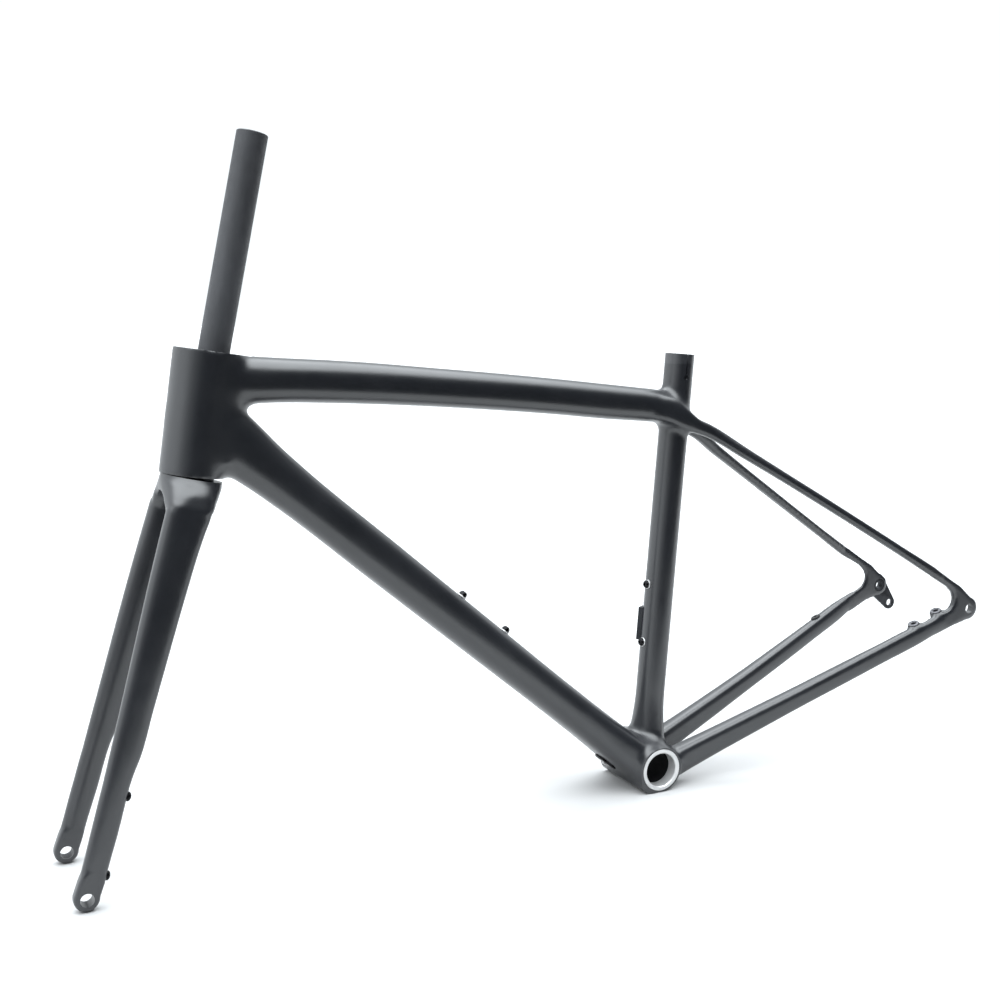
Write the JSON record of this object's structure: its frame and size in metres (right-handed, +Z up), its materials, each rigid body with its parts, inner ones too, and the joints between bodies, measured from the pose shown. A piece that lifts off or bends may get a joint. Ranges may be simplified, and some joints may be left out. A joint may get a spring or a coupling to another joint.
{
  "type": "bicycle frameset",
  "caption": "Carbon road bicycle frame with disc-brake mounts and a steering fork, bare, with uncut steerer tube.",
  "frame": {"origin": "on the floor, at the centre of the bounding box's footprint", "axes": "+X forward, towards the fork; +Y to the rider's left; +Z up from the floor that the fork tips and the bottom bracket shell stand on"},
  "size_m": [1.0507, 0.1614, 0.676],
  "materials": {
    "satin_carbon": "satin",
    "raw_carbon": "matt",
    "machined_aluminium": "machined",
    "black_anodised": "anodised",
    "black_screw": "gloss black",
    "bearing_steel": "ground",
    "black_rubber": "matt"
  },
  "bodies": {
    "frame": {"bb_shell": "satin_carbon", "bb_sleeve_left": "machined_aluminium", "bb_sleeve_right": "machined_aluminium", "bottle_insert_down_lower": "machined_aluminium", "bottle_insert_down_upper": "machined_aluminium", "bottle_insert_seat_lower": "machined_aluminium", "bottle_insert_seat_upper": "machined_aluminium", "bottle_screw_down_lower": "black_screw", "bottle_screw_down_upper": "black_screw", "bottle_screw_seat_lower": "black_screw", "bottle_screw_seat_upper": "black_screw", "brake_boss_front": "black_anodised", "brake_boss_rear": "black_anodised", "cable_port_cover": "black_screw", "chainstay_grommet": "black_rubber", "chainstay_left": "satin_carbon", "chainstay_right": "satin_carbon", "cover_screw": "machined_aluminium", "derailleur_hanger": "black_anodised", "derailleur_rivet_lower": "black_screw", "derailleur_rivet_upper": "black_screw", "down_tube": "satin_carbon", "front_derailleur_mount": "black_anodised", "head_tube": "satin_carbon", "lower_bearing_outer": "bearing_steel", "rear_dropout_left": "satin_carbon", "rear_dropout_right": "satin_carbon", "seat_cluster": "satin_carbon", "seat_tube": "satin_carbon", "seatstay_left": "satin_carbon", "seatstay_right": "satin_carbon", "top_tube": "satin_carbon", "upper_bearing_outer": "bearing_steel"},
    "fork": {"steerer_tube": "raw_carbon", "fork_crown": "satin_carbon", "fork_blade_left": "satin_carbon", "fork_blade_right": "satin_carbon", "fork_dropout_left": "satin_carbon", "fork_dropout_right": "satin_carbon", "axle_thread_insert": "black_anodised", "caliper_screw_upper": "black_screw", "caliper_screw_lower": "black_screw", "crown_race": "black_anodised", "lower_bearing_inner": "bearing_steel", "upper_bearing_inner": "bearing_steel", "compression_ring": "black_anodised"}
  },
  "joints": [
    {"name": "steering", "type": "hinge", "parent": "frame", "child": "fork", "pos_m": [0.39434, 0, 0.36589], "axis": [-0.2074, 0, 0.9783], "continuous": true}
  ]
}
